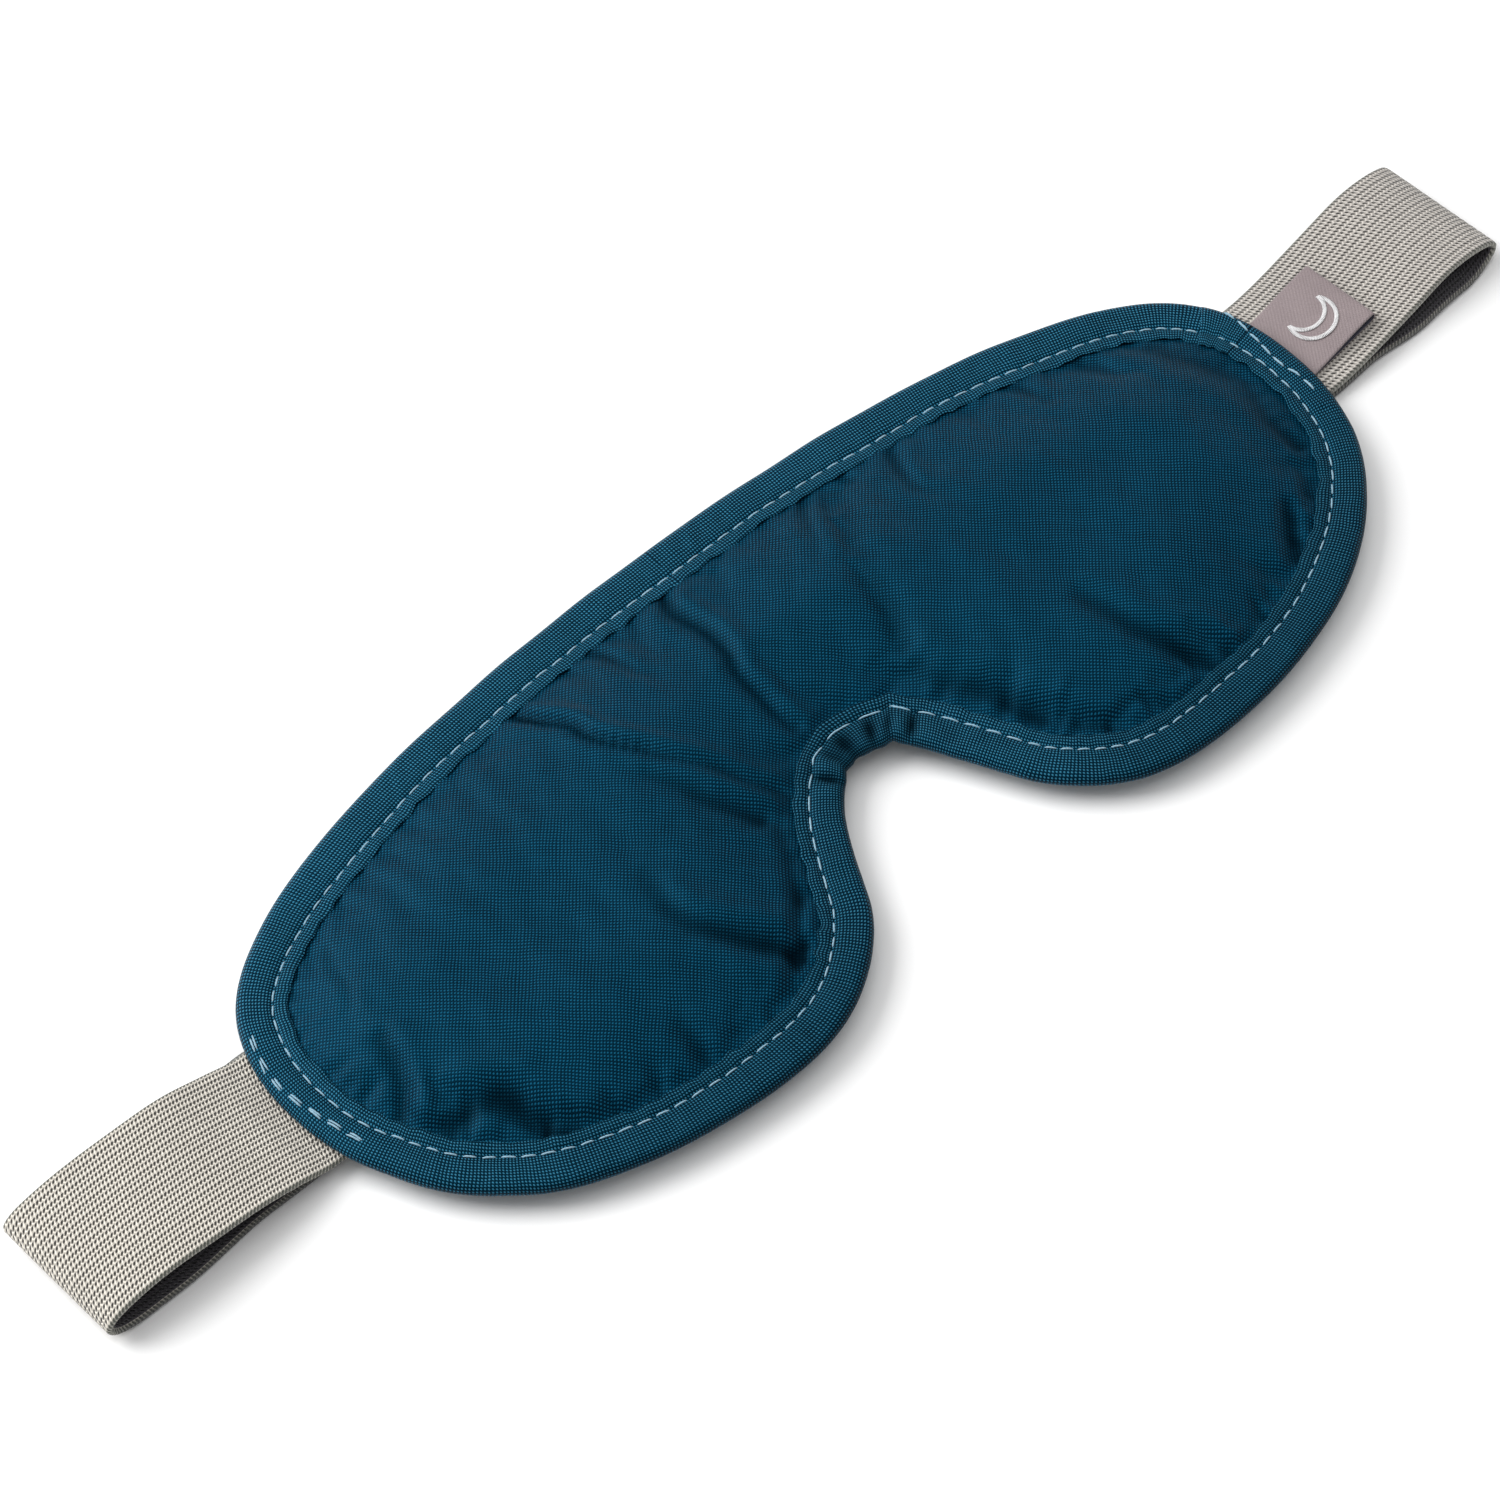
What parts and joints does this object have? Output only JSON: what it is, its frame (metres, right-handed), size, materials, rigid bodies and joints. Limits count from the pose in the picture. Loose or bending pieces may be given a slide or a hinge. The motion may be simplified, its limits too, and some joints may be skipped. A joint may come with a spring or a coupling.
{
  "type": "padded sleep eye mask",
  "caption": "Padded fabric sleep mask with a nose notch, bound stitched edge, sewn elastic strap loop and a folded side label.",
  "frame": {"origin": "on the underside of the strap's rear run, straight under the middle of the nose bridge, where rear_strap_face is", "axes": "mask lying on its face side: +X across the width towards the side with the label, +Y towards the forehead edge, +Z out of the front panel"},
  "size_m": [0.3071, 0.0895, 0.0099],
  "materials": {
    "front_fabric": "fine plain weave, satin",
    "binding_fabric": "fine plain weave tape, satin",
    "lining_fabric": "soft brushed, matte",
    "blackout_film": "matte film",
    "padding_foam": "matte wadding",
    "thread": "satin polyester thread",
    "elastic": "knitted elastic, matte",
    "label_satin": "woven satin"
  },
  "bodies": {
    "mask_left": {"front_panel_left": "front_fabric", "padding_left": "padding_foam", "blackout_liner_left": "blackout_film", "back_panel_left": "lining_fabric", "binding_left": "binding_fabric", "topstitch_left": "thread", "bobbin_stitch_left": "thread", "strap_tack_front_left": "thread", "strap_tack_back_left": "thread", "strap_end_left": "elastic"},
    "mask_right": {"front_panel_right": "front_fabric", "padding_right": "padding_foam", "blackout_liner_right": "blackout_film", "back_panel_right": "lining_fabric", "binding_right": "binding_fabric", "topstitch_right": "thread", "bobbin_stitch_right": "thread", "strap_tack_front_right": "thread", "strap_tack_back_right": "thread", "strap_end_right": "elastic", "label_end": "label_satin"},
    "strap_left": {"strap_left": "elastic", "strap_fold_left": "elastic"},
    "strap_rear_left": {"strap_rear_left": "elastic"},
    "strap_mid_left": {"strap_mid_left": "elastic"},
    "strap_right": {"strap_right": "elastic", "strap_fold_right": "elastic"},
    "strap_rear_right": {"strap_rear_right": "elastic"},
    "strap_mid_right": {"strap_mid_right": "elastic"},
    "side_label": {"side_label": "label_satin"}
  },
  "joints": [
    {"name": "bridge_wrap", "type": "hinge", "parent": "mask_left", "child": "mask_right", "pos_m": [0, 0, 0.0038], "axis": [0, 1, 0], "range_deg": [0, 70]},
    {"name": "left_strap_swing", "type": "hinge", "parent": "mask_left", "child": "strap_left", "pos_m": [-0.11, -0.0007, 0.0062], "axis": [0, -1, 0], "range_deg": [0, 16.4]},
    {"name": "left_strap_unfold", "type": "hinge", "parent": "strap_left", "child": "strap_rear_left", "pos_m": [-0.1503, -0.0007, 0.00275], "axis": [0, 1, 0], "range_deg": [0, 95.3], "deforming": ["strap_fold_left"]},
    {"name": "left_strap_curve", "type": "hinge", "parent": "strap_rear_left", "child": "strap_mid_left", "pos_m": [-0.02556, 0.0003, 0.0006], "axis": [0, -1, 0], "range_deg": [0, 43.9]},
    {"name": "right_strap_swing", "type": "hinge", "parent": "mask_right", "child": "strap_right", "pos_m": [0.11, 0.0014, 0.0062], "axis": [0, 1, 0], "range_deg": [0, 16.4]},
    {"name": "right_strap_unfold", "type": "hinge", "parent": "strap_right", "child": "strap_rear_right", "pos_m": [0.1503, 0.0045, 0.00275], "axis": [0, -1, 0], "range_deg": [0, 95.3], "deforming": ["strap_fold_right"]},
    {"name": "right_strap_curve", "type": "hinge", "parent": "strap_rear_right", "child": "strap_mid_right", "pos_m": [0.02556, 0.0007, 0.0006], "axis": [0, 1, 0], "range_deg": [0, 43.9]},
    {"name": "label_lift", "type": "hinge", "parent": "mask_right", "child": "side_label", "pos_m": [0.11075, 0.0006, 0.00315], "axis": [0, -1, 0], "range_deg": [0, 80]}
  ],
  "couplings": [
    {"joint": "left_strap_swing", "follows": "bridge_wrap", "ratio": 0.23443},
    {"joint": "left_strap_unfold", "follows": "bridge_wrap", "ratio": 1.3619},
    {"joint": "left_strap_curve", "follows": "bridge_wrap", "ratio": 0.62743},
    {"joint": "right_strap_swing", "follows": "bridge_wrap", "ratio": 0.23443},
    {"joint": "right_strap_unfold", "follows": "bridge_wrap", "ratio": 1.3619},
    {"joint": "right_strap_curve", "follows": "bridge_wrap", "ratio": 0.62743}
  ]
}
